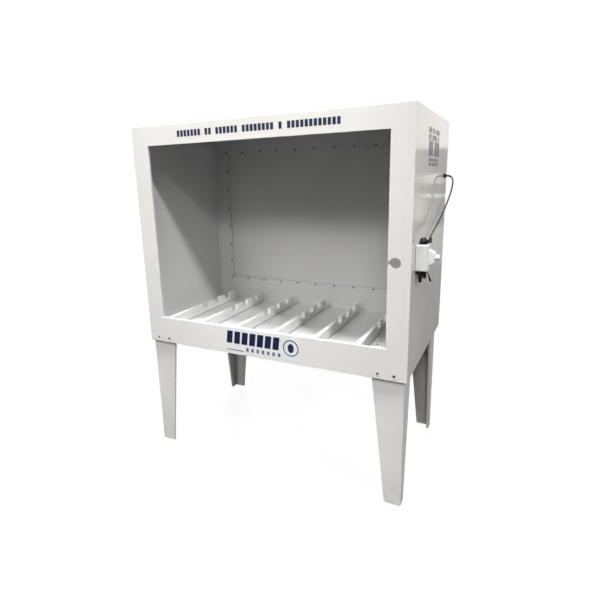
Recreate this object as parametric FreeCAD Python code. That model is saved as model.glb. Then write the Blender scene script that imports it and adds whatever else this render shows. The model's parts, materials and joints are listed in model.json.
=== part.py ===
"""Screen washout booth: an open-fronted, backlit wash cabinet of welded plastic plate on four
angle legs, with notched rails for screens, a drain and a switch box for the light.

Frame: +Z up, the front faces -Y, the origin is on the floor under the cabinet's centre.
Millimetres. A distance called "behind" is measured rearwards from the cabinet's front face.
"""
import FreeCAD, Part
import math
import os
from FreeCAD import Vector

# ---- driving dimensions ----
WIDTH = 1484.0
DEPTH = 907.0
HEIGHT = 1829.0
PLATE = 12.7              # half-inch plastic plate of the shell, legs and floor
THIN_PLATE = 6.4          # quarter-inch plate of the rear cover, trough and window
EDGE_ROUND = 0.9          # scraped edge of every plate
SKIRT_BOTTOM = 645.0      # lower edge of the cabinet
LIP_TOP = 795.0           # top of the front apron
OPENING_TOP = 1733.0
STILE_WIDTH = 100.0
FLOOR_TOP = 737.0
WINDOW_WALL_BEHIND = 725.0

HALF_WIDTH = WIDTH / 2
FRONT = -DEPTH / 2
REAR = DEPTH / 2
INNER_HALF = HALF_WIDTH - PLATE
FLOOR_UNDER = FLOOR_TOP - PLATE
CEILING = HEIGHT - PLATE
SHELL_REAR = REAR - THIN_PLATE
WALL_FRONT = FRONT + WINDOW_WALL_BEHIND
WALL_REAR = WALL_FRONT + PLATE

# window in the inner wall: a grid of screws round a cut-out
SCREW_HALF_X = 632.0
SCREW_LOW_Z = 878.0
SCREW_HIGH_Z = 1719.0
SCREWS_ACROSS = 11
SCREWS_UP = 8
CUT_INSIDE_SCREWS = 8.0
PANEL_OUTSIDE_SCREWS = 14.0
WINDOW_GASKET = 1.5
WINDOW_SCREW_HEAD = (5.5, 3.2)   # radius and height
WINDOW_SCREW_LENGTH = 27.0
WINDOW_NUT = (10.0, 5.0)         # across flats and height
M6 = 3.0
SOCKET_FLATS = 0.72       # a hexagon socket's flats over its head's radius
SOCKET_DEPTH = 0.6        # its depth over the head's height

# rear cover
COVER_SCREW_R = 2.4
COVER_SCREW_DEEP = 22.0
COVER_SCREW_HEAD = (5.0, 3.0)
COVER_SCREWS_ACROSS = 9
COVER_SCREWS_UP = 7

# keyhole for the wash gun
KEYHOLE = (675.0, 1187.0)
KEYHOLE_R = 24.0
KEYHOLE_SLOT = 14.0

# floor ribs
RIB_X = 240.0
RIB_RAISED = 15.0

# screen rails
RAIL_X = (-594.0, -381.0, -152.0, 72.0, 294.0, 511.0)
RAIL_WIDTH = 20.0
RAIL_HEIGHT = 60.0
RAIL_END_BEHIND = 690.0
NOTCH_BEHIND = (310.0, 430.0, 551.0)
NOTCH_LENGTH = 60.0
NOTCH_DEPTH = 28.0

# drain
DRAIN_X = 557.0
DRAIN_HOLE_R = 8.0
DRAIN_FIRST_BEHIND = 126.0
DRAIN_PITCH = 63.0
DRAIN_HOLES = 9
TROUGH_WIDTH = 94.0
TROUGH_BEHIND = (100.0, 700.0)
TROUGH_BOTTOM = 676.0
OUTLET_BEHIND = 640.0
OUTLET_R = 24.15
OUTLET_BORE_R = 20.45
OUTLET_BOTTOM = 600.0
OUTLET_SHOULDER = 658.0   # where the pipe spigot ends and the outlet's thread starts
OUTLET_THREAD_R = 27.0
OUTLET_FLANGE = (36.0, 5.0)      # radius and height
OUTLET_NUT = (64.0, 12.0)        # across flats and height

# legs
LEG_FRONT_TOP = 151.0
LEG_FRONT_FOOT = 80.0
LEG_SIDE_TOP = 130.0
LEG_SIDE_FOOT = 57.0
REAR_APRON_BEHIND = 835.0
LEG_BOLT_X = (608.0, 684.0)
LEG_BOLT_Z = 671.0
LEG_CORNER_ROUND = 2.0
LEG_BOLT_HEAD = (10.0, 4.0)      # across flats and height
LEG_BOLT_LENGTH = 36.0
LEG_NUT_FLANGE = (7.0, 1.6)      # radius and height
LEG_NUT_HEIGHT = 7.0

# lamps in the light box
TUBE_Z = (960.0, 1180.0, 1400.0, 1620.0)
TUBE_R = 13.0
TUBE_HALF = 590.0
CAP_LENGTH = 14.0
TUBE_Y = SHELL_REAR - 32.0
HOLDER_LENGTH = 20.0
HOLDER_HALF = 17.0
TRAY_SHEET = 1.5
TRAY_LIP = 20.0
TRAY_HALF_X = 640.0
TRAY_Z = (850.0, 1745.0)
DUCT_X = (624.0, 636.0)
DUCT_DEPTH = 30.0
DRIVER_X = (646.0, 700.0)
DRIVER_Z = (1250.0, 1450.0)
DRIVER_DEPTH = 32.0
LAMP_LEAD_R = 3.0

# switch box on the right side
BOX_BEHIND = (78.0, 148.0)
BOX_Z = (1141.0, 1257.0)
BOX_WALL = 3.5
BOX_BASE_X = HALF_WIDTH + 1.5
BOX_RIM_X = 792.0
COVER_X = 793.0
COVER_FACE_X = 797.5
BOX_CORNER = 6.0
BOX_ENTRY_R = 10.0
WALL_SCREW_R = 2.4
WALL_SCREW_DEEP = 9.0
WALL_SCREW_HEAD = (4.5, 3.0)
WALL_SCREW_SPACING = 76.0
LID_SCREW_R = 1.8
LID_SCREW_HEAD = (3.4, 2.4)
LID_SCREW_DEEP = 14.0
LID_SCREW_OFFSET = (29.5, 52.5)  # from the cover's middle, along y and z
LID_POST_R = 4.5
BOSS_X = 820.0
BOSS_BASE = (28.0, 34.5)         # half widths along y and z where it leaves the cover
BOSS_TOP = (19.0, 19.5)
KNOB_Z = 1201.0
KNOB_R = 12.5
KNOB_X = (820.5, 838.5)
KNOB_TAPER = 1.2
KNOB_FLUTES = 16
FLUTE_R = 1.3
SHAFT_R = 3.0
SHAFT_START_X = 768.0
SHAFT_IN_KNOB = 4.0       # plastic left between the shaft's end and the knob's face
RUNNING = 0.06            # radial clearance of a turning shaft
BUSH_R = 5.0
BUSH_X = 801.0
DIMMER_X = (762.0, 782.0)
DIMMER_HALF = 15.0

# toggle switch in the box's underside
TOGGLE = (785.0, FRONT + 130.0, 1137.5)   # the lever's pivot
TOGGLE_LEAN = 20.0
TOGGLE_REACH = 52.0
TOGGLE_THREAD_R = 5.0
TOGGLE_MOUTH = 5.5        # from the pivot down to the bushing's end
TOGGLE_SEAT = 1.5
TOGGLE_BODY = (6.5, 20.5)        # half width and height
TOGGLE_NUT = (14.0, 3.0)         # across flats and height
BALL_R = 4.1
BALL_BORE_R = 4.2
FUNNEL_R = 4.6
PIN_R = 1.2
NECK_R = 1.7
NECK_LENGTH = 12.0
BAT_R = 4.6

# light-box gland and cable
CABLE_R = 4.0
GLAND_BEHIND = 801.0
GLAND_Z = 1538.0
GLAND_THREAD_R = 8.0
GLAND_INSIDE = 9.0
GLAND_FLANGE_X = HALF_WIDTH + 4
GLAND_THREAD_X = HALF_WIDTH + 7
GLAND_CAP_X = (HALF_WIDTH + 4.4, HALF_WIDTH + 10)
GLAND_NOSE_X = HALF_WIDTH + 14
GLAND_NOSE_R = (9.4, 6.2)
GLAND_FLATS = (22.0, 20.0, 21.0)  # body, cap and locknut
LOCKNUT_HEIGHT = 4.0
THREAD_SHOWING = 3.0      # beyond a locknut

# swivel elbow on the switch box: a ball, an arm and an upturned seat for its cap
ELBOW = (768.0, FRONT + 113.0, 1270.0)
ELBOW_BALL_R = 16.3
ELBOW_COLLAR_R = 15.5
ELBOW_FLATS = 34.0
ELBOW_FLANGE = 7.0
ELBOW_PASSAGE_R = 7.0
ELBOW_KNUCKLE = (794.0, FRONT + 121.0, 1268.5)
ELBOW_ARM_R = 7.5
ELBOW_AIM = Vector(-0.10, 0.85, 0.52).normalize()
ELBOW_SEAT = 7.6          # along the aim from the knuckle
ELBOW_CAP = 12.6
ELBOW_NOSE = 17.0
ELBOW_CAP_FLATS = 14.0
ELBOW_NOSE_R = (6.6, 5.2)
ENTRY_NUT_FLATS = 24.0

# where the cable hangs between its two fittings: x, behind and z
CABLE_SAG = ((770.0, 801.0, 1538.0), (783.0, 801.0, 1530.5), (790.5, 800.0, 1517.0), (792.0, 795.0, 1496.0),
             (790.0, 775.0, 1464.0), (787.0, 730.0, 1432.0), (785.0, 655.0, 1399.0), (782.0, 563.0, 1361.0),
             (779.0, 471.0, 1329.0), (777.0, 385.0, 1307.0), (779.0, 305.0, 1296.0), (785.0, 220.0, 1290.0))
CABLE_LAST_RUN = 22.0

# two-way gland under the switch box: the supply's way and a blanked way
SUPPLY_AT = (761.0, FRONT + 103.0)
SUPPLY_FLANGE_R = 18.3
SUPPLY_FLANGE = 13.0
SUPPLY_NECK = (10.0, 22.0)       # radius at its lower end, and how far under the box
SUPPLY_CAP_FLATS = 16.0
SUPPLY_CAP = 36.0
SUPPLY_MOUTH = 52.0
SUPPLY_NOSE_R = (7.6, 6.6)
SUPPLY_ENTRY_R = 5.0
SUPPLY_ENTRY_DEPTH = 60.0
BLANK_AT = (778.0, FRONT + 110.0)
BLANK_R = (9.0, 7.5)
BLANK_DEPTH = 34.0

BOX_MID_Y = FRONT + sum(BOX_BEHIND) / 2
X_AXIS = Vector(1, 0, 0)
Y_AXIS = Vector(0, 1, 0)
Z_AXIS = Vector(0, 0, 1)


# ---- helpers ----
def box(x, y, z):
    """A box between two x, two y and two z values."""
    low = Vector(min(x), min(y), min(z))
    return Part.makeBox(max(x) - low.x, max(y) - low.y, max(z) - low.z, low)


def plate(x, y, z, edge=EDGE_ROUND):
    """A plate with its edges scraped round."""
    solid = box(x, y, z)
    return solid.makeFillet(edge, solid.Edges)


def rod(radius, start, end):
    """A round bar from one point to another."""
    start = Vector(*start)
    along = Vector(*end) - start
    return Part.makeCylinder(radius, along.Length, start, along)


def cone(radius, end_radius, start, end):
    start = Vector(*start)
    along = Vector(*end) - start
    return Part.makeCone(radius, end_radius, along.Length, start, along)


def hexagon(across_flats, start, end):
    """A hexagonal bar from one point to another."""
    start = Vector(*start)
    along = Vector(*end) - start
    turn = FreeCAD.Rotation(Z_AXIS, along)
    corner = across_flats / 2 / math.cos(math.pi / 6)
    points = [start + turn.multVec(Vector(corner * math.cos(math.radians(a)),
                                          corner * math.sin(math.radians(a)), 0))
              for a in range(0, 361, 60)]
    return Part.Face(Part.makePolygon(points)).extrude(along)


def dome_screw(head, shank_r, seat, point):
    """A domed screw with a hexagon socket, from its seat to its point; head is radius and height."""
    head_r, head_h = head
    seat, point = Vector(*seat), Vector(*point)
    out = (seat - point).normalize()
    top = seat + out * head_h
    dome = rod(head_r, seat, top)
    rim = [e for e in dome.Edges if (e.CenterOfMass - top).Length < 0.01]
    dome = dome.makeFillet(0.66 * head_h, rim)
    socket = hexagon(head_r * SOCKET_FLATS, top - out * (head_h * SOCKET_DEPTH), top + out)
    return dome.fuse(rod(shank_r, seat, point)).cut(socket)


def prism(points, along):
    """A flat outline pushed along a vector."""
    corners = [Vector(*p) for p in points]
    return Part.Face(Part.makePolygon(corners + corners[:1])).extrude(along)


def mirror_x(shape):
    return shape.mirror(Vector(0, 0, 0), X_AXIS)


def export(node, shape):
    """Write one node; a list is a group of separate solids."""
    if isinstance(shape, list):
        shape = Part.makeCompound(shape)
    if not shape.isValid():
        print("NOT VALID", node)
    solids = len(shape.Solids)
    print(f"{node}: {solids} solid(s), {shape.Volume / 1000:.1f} cm3")
    shape.exportStep(f"parts/{node}.step")


def spaced(first, last, count):
    return [first + (last - first) * i / (count - 1) for i in range(count)]


# ---- window ----
def window_screw_places():
    xs = spaced(-SCREW_HALF_X, SCREW_HALF_X, SCREWS_ACROSS)
    zs = spaced(SCREW_LOW_Z, SCREW_HIGH_Z, SCREWS_UP)
    rows = [(x, z) for z in (zs[0], zs[-1]) for x in xs]
    columns = [(x, z) for x in (xs[0], xs[-1]) for z in zs[1:-1]]
    return rows + columns


def window_cutout(y):
    inside = CUT_INSIDE_SCREWS
    return box((-SCREW_HALF_X + inside, SCREW_HALF_X - inside), y,
               (SCREW_LOW_Z + inside, SCREW_HIGH_Z - inside))


def drill_window(solid, y):
    drills = [rod(M6, (x, y[0], z), (x, y[1], z)) for x, z in window_screw_places()]
    return solid.cut(drills)


def window_panel(y):
    """A sheet as large as the window panel, drilled for its screws."""
    out = PANEL_OUTSIDE_SCREWS
    sheet = box((-SCREW_HALF_X - out, SCREW_HALF_X + out), y, (SCREW_LOW_Z - out, SCREW_HIGH_Z + out))
    return drill_window(sheet, (y[0] - 1, y[1] + 1))


def window_screw(x, z):
    return dome_screw(WINDOW_SCREW_HEAD, M6, (x, WALL_FRONT, z), (x, WALL_FRONT + WINDOW_SCREW_LENGTH, z))


def window_nut(x, z, seat):
    flats, height = WINDOW_NUT
    nut = hexagon(flats, (x, seat, z), (x, seat + height, z))
    return nut.cut(rod(M6, (x, seat - 1, z), (x, seat + height + 1, z)))


def make_window():
    gasket_y = (WALL_REAR, WALL_REAR + WINDOW_GASKET)
    panel_y = (gasket_y[1], gasket_y[1] + THIN_PLATE)
    wall = box((-INNER_HALF, INNER_HALF), (WALL_FRONT, WALL_REAR), (FLOOR_TOP, CEILING))
    wall = wall.cut(window_cutout((WALL_FRONT - 1, WALL_REAR + 1)))
    export("back_wall", drill_window(wall, (WALL_FRONT - 1, WALL_REAR + 1)))
    export("window_gasket", window_panel(gasket_y).cut(window_cutout((gasket_y[0] - 1, gasket_y[1] + 1))))
    export("window_diffuser", window_panel(panel_y))
    places = window_screw_places()
    export("window_screws", [window_screw(x, z) for x, z in places])
    export("window_nuts", [window_nut(x, z, panel_y[1]) for x, z in places])


# ---- rear cover and its screws ----
def rear_screw_places():
    half = HALF_WIDTH - PLATE / 2
    low, high = FLOOR_UNDER + PLATE / 2, HEIGHT - PLATE / 2
    xs = spaced(-half, half, COVER_SCREWS_ACROSS)
    zs = spaced(low, high, COVER_SCREWS_UP)
    rows = [(x, z) for z in (low, high) for x in xs]
    columns = [(x, z) for x in (-half, half) for z in zs[1:-1]]
    return rows + columns


def drill_for_cover(solid):
    """The blind holes that the rear cover's screws bite into."""
    drills = [rod(COVER_SCREW_R, (x, SHELL_REAR - COVER_SCREW_DEEP, z), (x, SHELL_REAR + 1, z))
              for x, z in rear_screw_places()]
    return solid.cut(drills)


def cover_screw(x, z):
    """The shank stops at the cover's outer face, under the head."""
    return dome_screw(COVER_SCREW_HEAD, COVER_SCREW_R, (x, REAR, z), (x, SHELL_REAR - COVER_SCREW_DEEP, z))


def make_rear_cover():
    cover = plate((-HALF_WIDTH, HALF_WIDTH), (SHELL_REAR, REAR), (FLOOR_UNDER, HEIGHT))
    holes = [rod(COVER_SCREW_R, (x, SHELL_REAR - 1, z), (x, REAR + 1, z))
             for x, z in rear_screw_places()]
    export("rear_cover", cover.cut(holes))
    export("rear_cover_screws", [cover_screw(x, z) for x, z in rear_screw_places()])


# ---- shell ----
def make_front():
    y = (FRONT, FRONT + PLATE)
    across = (-HALF_WIDTH, HALF_WIDTH)
    inner_edge = HALF_WIDTH - STILE_WIDTH
    stile_z = (LIP_TOP, OPENING_TOP)
    export("header_panel", plate(across, y, (OPENING_TOP, HEIGHT)))
    apron = plate(across, y, (SKIRT_BOTTOM, LIP_TOP))
    export("front_apron", apron.cut(leg_bolt_drills((FRONT - 1, FRONT + PLATE + 1))))
    stile = plate((inner_edge, HALF_WIDTH), y, stile_z)
    export("left_stile", mirror_x(stile))
    x, z = KEYHOLE
    through = (FRONT - 1, FRONT + PLATE + 1)
    slot = box((inner_edge - 1, x), through, (z - KEYHOLE_SLOT / 2, z + KEYHOLE_SLOT / 2))
    hole = rod(KEYHOLE_R, (x, through[0], z), (x, through[1], z))
    export("right_stile", stile.cut([hole, slot]))


def make_sides():
    y = (FRONT + PLATE, SHELL_REAR)
    side = plate((INNER_HALF, HALF_WIDTH), y, (SKIRT_BOTTOM, HEIGHT))
    side = drill_for_cover(side)
    export("left_side_panel", mirror_x(side))
    gland_y = FRONT + GLAND_BEHIND
    drills = [rod(GLAND_THREAD_R, (INNER_HALF - 1, gland_y, GLAND_Z), (HALF_WIDTH + 1, gland_y, GLAND_Z))]
    for z in box_screw_heights():
        drills.append(rod(WALL_SCREW_R, (HALF_WIDTH - WALL_SCREW_DEEP, BOX_MID_Y, z),
                          (HALF_WIDTH + 1, BOX_MID_Y, z)))
    export("right_side_panel", side.cut(drills))
    top = plate((-INNER_HALF, INNER_HALF), y, (CEILING, HEIGHT))
    export("top_panel", drill_for_cover(top))


def make_floor():
    y = (FRONT + PLATE, SHELL_REAR)
    floor = box((-INNER_HALF, INNER_HALF), y, (FLOOR_UNDER, FLOOR_TOP))
    drills = []
    for i in range(DRAIN_HOLES):
        hole_y = FRONT + DRAIN_FIRST_BEHIND + DRAIN_PITCH * i
        drills.append(rod(DRAIN_HOLE_R, (DRAIN_X, hole_y, FLOOR_UNDER - 1), (DRAIN_X, hole_y, FLOOR_TOP + 1)))
    export("floor_pan", drill_for_cover(floor).cut(drills))
    rear_y = (FRONT + REAR_APRON_BEHIND, FRONT + REAR_APRON_BEHIND + PLATE)
    rear_apron = box((-INNER_HALF, INNER_HALF), rear_y, (SKIRT_BOTTOM, FLOOR_UNDER))
    drills = leg_bolt_drills((rear_y[0] - 1, rear_y[1] + 1))
    export("rear_apron", rear_apron.cut(drills))
    rib_z = (SKIRT_BOTTOM + RIB_RAISED, FLOOR_UNDER)
    ribs = [box((x - PLATE / 2, x + PLATE / 2), (y[0], rear_y[0]), rib_z) for x in (-RIB_X, RIB_X)]
    export("floor_ribs", ribs)


# ---- screen rails ----
def screen_rail(x):
    """A bar on edge with three rectangular notches that hold screens upright."""
    y = (FRONT + PLATE, FRONT + RAIL_END_BEHIND)
    top = FLOOR_TOP + RAIL_HEIGHT
    half = RAIL_WIDTH / 2
    outline = [(y[0], FLOOR_TOP), (y[0], top)]
    for behind in NOTCH_BEHIND:
        start, end = FRONT + behind, FRONT + behind + NOTCH_LENGTH
        outline += [(start, top), (start, top - NOTCH_DEPTH), (end, top - NOTCH_DEPTH), (end, top)]
    outline += [(y[1], top), (y[1], FLOOR_TOP)]
    rail = prism([(x - half, a, b) for a, b in outline], X_AXIS * RAIL_WIDTH)
    rims = [e for e in rail.Edges if e.BoundBox.YLength > 1 and e.CenterOfMass.z > top - 0.1]
    return rail.makeFillet(1.5, rims)


def make_rails():
    for number, x in enumerate(RAIL_X, 1):
        export(f"screen_rail_{number}", screen_rail(x))


# ---- drain ----
def make_drain():
    half = TROUGH_WIDTH / 2
    y = tuple(FRONT + b for b in TROUGH_BEHIND)
    outlet_y = FRONT + OUTLET_BEHIND
    inside_z = TROUGH_BOTTOM + THIN_PLATE
    trough = box((DRAIN_X - half, DRAIN_X + half), y, (TROUGH_BOTTOM, FLOOR_UNDER))
    inner = half - THIN_PLATE
    hollow = box((DRAIN_X - inner, DRAIN_X + inner), (y[0] + THIN_PLATE, y[1] - THIN_PLATE),
                 (inside_z, FLOOR_UNDER + 1))
    hole = rod(OUTLET_THREAD_R, (DRAIN_X, outlet_y, TROUGH_BOTTOM - 1), (DRAIN_X, outlet_y, inside_z + 1))
    export("drain_trough", trough.cut([hollow, hole]))
    flange_r, flange_h = OUTLET_FLANGE
    centre = (DRAIN_X, outlet_y)
    outlet = rod(OUTLET_R, (*centre, OUTLET_BOTTOM), (*centre, OUTLET_SHOULDER))
    outlet = outlet.fuse([rod(OUTLET_THREAD_R, (*centre, OUTLET_SHOULDER), (*centre, inside_z)),
                          rod(flange_r, (*centre, inside_z), (*centre, inside_z + flange_h))])
    outlet = outlet.cut(rod(OUTLET_BORE_R, (*centre, OUTLET_BOTTOM - 1), (*centre, inside_z + flange_h + 1)))
    export("drain_outlet", outlet)
    nut_flats, nut_h = OUTLET_NUT
    nut = hexagon(nut_flats, (*centre, TROUGH_BOTTOM - nut_h), (*centre, TROUGH_BOTTOM))
    nut = nut.cut(rod(OUTLET_THREAD_R, (*centre, TROUGH_BOTTOM - nut_h - 1), (*centre, TROUGH_BOTTOM + 1)))
    export("drain_outlet_nut", nut)


# ---- legs ----
def leg_bolt_drills(y):
    return [rod(M6, (side * x, y[0], LEG_BOLT_Z), (side * x, y[1], LEG_BOLT_Z))
            for side in (-1, 1) for x in LEG_BOLT_X]


def leg(outer_y, inward):
    """An angle leg of two tapered plates; its cross plate stands at outer_y, inward is +1 or -1."""
    cross_y = outer_y + inward * PLATE
    outer_x = INNER_HALF
    cross = [(outer_x, outer_y, 0), (outer_x - LEG_FRONT_FOOT, outer_y, 0),
             (outer_x - LEG_FRONT_TOP, outer_y, SKIRT_BOTTOM),
             (outer_x - LEG_FRONT_TOP, outer_y, FLOOR_UNDER), (outer_x, outer_y, FLOOR_UNDER)]
    cross = prism(cross, Y_AXIS * (inward * PLATE))
    side = [(outer_x, outer_y, 0), (outer_x, outer_y + inward * LEG_SIDE_FOOT, 0),
            (outer_x, outer_y + inward * LEG_SIDE_TOP, SKIRT_BOTTOM),
            (outer_x, outer_y + inward * LEG_SIDE_TOP, FLOOR_UNDER), (outer_x, outer_y, FLOOR_UNDER)]
    side = prism(side, X_AXIS * -PLATE)
    solid = cross.fuse(side).removeSplitter()
    corner = [e for e in solid.Edges if e.BoundBox.ZLength > FLOOR_UNDER - 1
              and abs(e.CenterOfMass.x - outer_x) < 0.01 and abs(e.CenterOfMass.y - outer_y) < 0.01]
    solid = solid.makeFillet(LEG_CORNER_ROUND, corner)
    return solid.cut(leg_bolt_drills((min(outer_y, cross_y) - 1, max(outer_y, cross_y) + 1)))


def leg_bolt(x, head_y, inward):
    """A hexagon-headed bolt through a panel and a leg's cross plate."""
    flats, height = LEG_BOLT_HEAD
    head = hexagon(flats, (x, head_y - inward * height, LEG_BOLT_Z), (x, head_y, LEG_BOLT_Z))
    return head.fuse(rod(M6, (x, head_y, LEG_BOLT_Z), (x, head_y + inward * LEG_BOLT_LENGTH, LEG_BOLT_Z)))


def leg_nut(x, seat_y, inward):
    """A hexagonal nut with a flange that spreads its load on the plastic."""
    flange_r, flange_h = LEG_NUT_FLANGE
    flange_y, far = seat_y + inward * flange_h, seat_y + inward * LEG_NUT_HEIGHT
    nut = rod(flange_r, (x, seat_y, LEG_BOLT_Z), (x, flange_y, LEG_BOLT_Z))
    nut = nut.fuse(hexagon(LEG_BOLT_HEAD[0], (x, flange_y, LEG_BOLT_Z), (x, far, LEG_BOLT_Z)))
    return nut.cut(rod(M6, (x, seat_y - inward, LEG_BOLT_Z), (x, far + inward, LEG_BOLT_Z)))


def make_legs():
    front_y = FRONT + PLATE
    rear_y = FRONT + REAR_APRON_BEHIND
    front_leg = leg(front_y, 1)
    rear_leg = leg(rear_y, -1)
    export("front_right_leg", front_leg)
    export("front_left_leg", mirror_x(front_leg))
    export("rear_right_leg", rear_leg)
    export("rear_left_leg", mirror_x(rear_leg))
    bolts, nuts = [], []
    for side in (-1, 1):
        for x in LEG_BOLT_X:
            for head_y, inward in ((FRONT, 1), (rear_y + PLATE, -1)):
                seat = head_y + inward * 2 * PLATE
                bolts.append(leg_bolt(side * x, head_y, inward))
                nuts.append(leg_nut(side * x, seat, inward))
    export("leg_bolts", bolts)
    export("leg_nuts", nuts)


# ---- lamps in the light box ----
def make_lamps():
    tray_front = SHELL_REAR - TRAY_SHEET
    x = (-TRAY_HALF_X, TRAY_HALF_X)
    tray = box(x, (SHELL_REAR - TRAY_LIP, SHELL_REAR), TRAY_Z)
    inset = TRAY_SHEET
    hollow = box((x[0] + inset, x[1] - inset), (SHELL_REAR - TRAY_LIP - 1, tray_front),
                 (TRAY_Z[0] + inset, TRAY_Z[1] - inset))
    export("reflector_tray", tray.cut(hollow))
    tubes, caps, holders = [], [], []
    end = TUBE_HALF + CAP_LENGTH
    for z in TUBE_Z:
        tubes.append(rod(TUBE_R, (-TUBE_HALF, TUBE_Y, z), (TUBE_HALF, TUBE_Y, z)))
        for side in (-1, 1):
            caps.append(rod(TUBE_R, (side * TUBE_HALF, TUBE_Y, z), (side * end, TUBE_Y, z)))
            holders.append(box((side * end, side * (end + HOLDER_LENGTH)), (TUBE_Y - HOLDER_HALF + 1, tray_front),
                               (z - HOLDER_HALF, z + HOLDER_HALF)))
    export("lamp_tubes", tubes)
    export("lamp_caps", caps)
    export("lamp_holders", holders)
    driver = plate(DRIVER_X, (SHELL_REAR - DRIVER_DEPTH, SHELL_REAR), DRIVER_Z, 2.0)
    inset, reach, sheet = 15, 14, 2
    ears = box((DRIVER_X[0] + inset, DRIVER_X[1] - inset), (SHELL_REAR - sheet, SHELL_REAR),
               (DRIVER_Z[0] - reach, DRIVER_Z[1] + reach))
    export("lamp_driver", driver.fuse(ears).removeSplitter())
    export("lamp_wiring", [wiring_duct(tray_front), lamp_lead()])


def wiring_duct(tray_front):
    """The duct behind the lamp holders, with a bridge over the tray's lip to the driver."""
    z = (DRIVER_Z[0] + 20, DRIVER_Z[0] + 32)
    front = SHELL_REAR - DUCT_DEPTH
    duct = box(DUCT_X, (front, tray_front), (TUBE_Z[0] - HOLDER_HALF, TUBE_Z[-1] + HOLDER_HALF))
    bridge = box((DUCT_X[1], DRIVER_X[0]), (front, SHELL_REAR - TRAY_LIP - 1), z)
    return duct.fuse(bridge).removeSplitter()


def lamp_lead():
    """From the light box's gland to the lamp driver."""
    x, y, z = INNER_HALF - GLAND_INSIDE, FRONT + GLAND_BEHIND, GLAND_Z
    driver_x, driver_y = sum(DRIVER_X) / 2, SHELL_REAR - DRIVER_DEPTH / 2
    route = [(x, y, z), (x - 22, y, z), (x - 40, y + 22, z - 9), (driver_x, driver_y - 28, z - 32),
             (driver_x, driver_y, z - 58), (driver_x, driver_y, DRIVER_Z[1])]
    return cable("lamp_lead", route, LAMP_LEAD_R)


# ---- switch box ----
def box_screw_heights():
    middle = sum(BOX_Z) / 2
    return (middle - WALL_SCREW_SPACING / 2, middle + WALL_SCREW_SPACING / 2)


def rounded_box(x, y, z, radius):
    """A box whose four edges along X are rounded."""
    solid = box(x, y, z)
    edges = [e for e in solid.Edges if e.BoundBox.XLength > (x[1] - x[0]) - 0.01]
    return solid.makeFillet(radius, edges)


def make_switch_box():
    y = tuple(FRONT + b for b in BOX_BEHIND)
    wall = BOX_WALL
    inset = 1.5
    gasket = rounded_box((HALF_WIDTH, BOX_BASE_X), (y[0] + inset, y[1] - inset),
                         (BOX_Z[0] + inset, BOX_Z[1] - inset), BOX_CORNER - 1)
    export("switch_box_gasket", gasket.cut(box_wall_screw_holes()))
    outer = rounded_box((BOX_BASE_X, BOX_RIM_X), y, BOX_Z, BOX_CORNER)
    inner = rounded_box((BOX_BASE_X + wall, BOX_RIM_X + 1), (y[0] + wall, y[1] - wall),
                        (BOX_Z[0] + wall, BOX_Z[1] - wall), BOX_CORNER - 2)
    posts = [rod(LID_POST_R, (BOX_BASE_X, *at), (BOX_RIM_X, *at)) for at in lid_screw_places()]
    shell = outer.cut(inner).fuse([post.common(outer) for post in posts])
    top, under = (BOX_Z[1] - wall - 1, BOX_Z[1] + 1), (BOX_Z[0] - 1, BOX_Z[0] + wall + 1)
    drills = lid_screw_holes(BOX_RIM_X - LID_SCREW_DEEP - 2)
    drills += [rod(BOX_ENTRY_R, (*ELBOW[:2], top[0]), (*ELBOW[:2], top[1])),
               rod(BOX_ENTRY_R, (*SUPPLY_AT, under[0]), (*SUPPLY_AT, under[1])),
               rod(TOGGLE_THREAD_R, (*TOGGLE[:2], under[0]), (*TOGGLE[:2], under[1]))]
    export("switch_box", shell.removeSplitter().cut(drills + box_wall_screw_holes()))
    seat = BOX_BASE_X + wall
    export("switch_box_screws", [dome_screw(WALL_SCREW_HEAD, WALL_SCREW_R, (seat, BOX_MID_Y, z),
                                            (HALF_WIDTH - WALL_SCREW_DEEP, BOX_MID_Y, z))
                                 for z in box_screw_heights()])


def box_wall_screw_holes():
    return [rod(WALL_SCREW_R, (HALF_WIDTH - 1, BOX_MID_Y, z), (BOX_BASE_X + BOX_WALL + 1, BOX_MID_Y, z))
            for z in box_screw_heights()]


def lid_screw_places():
    """The y and z of the four screws in the cover's corners."""
    middle = sum(BOX_Z) / 2
    across, up = LID_SCREW_OFFSET
    return [(BOX_MID_Y + a * across, middle + b * up) for a in (-1, 1) for b in (-1, 1)]


def lid_screw_holes(start_x):
    return [rod(LID_SCREW_R, (start_x, *at), (COVER_FACE_X + 1, *at)) for at in lid_screw_places()]


def knob_boss():
    """The four-sided boss that carries the knob."""
    def ring(half, at_x):
        a, b = half
        corners = [Vector(at_x, BOX_MID_Y + i * a, KNOB_Z + j * b) for i, j in ((-1, -1), (1, -1), (1, 1), (-1, 1))]
        return Part.makePolygon(corners + corners[:1])

    boss = Part.makeLoft([ring(BOSS_BASE, COVER_FACE_X - 1), ring(BOSS_TOP, BOSS_X)], True, True)
    slopes = [e for e in boss.Edges if e.BoundBox.XLength > 5]
    boss = boss.makeFillet(4.0, slopes)
    crown = [e for e in boss.Edges if e.BoundBox.XLength < 0.01 and abs(e.CenterOfMass.x - BOSS_X) < 0.01]
    return boss.makeFillet(1.5, crown)


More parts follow.
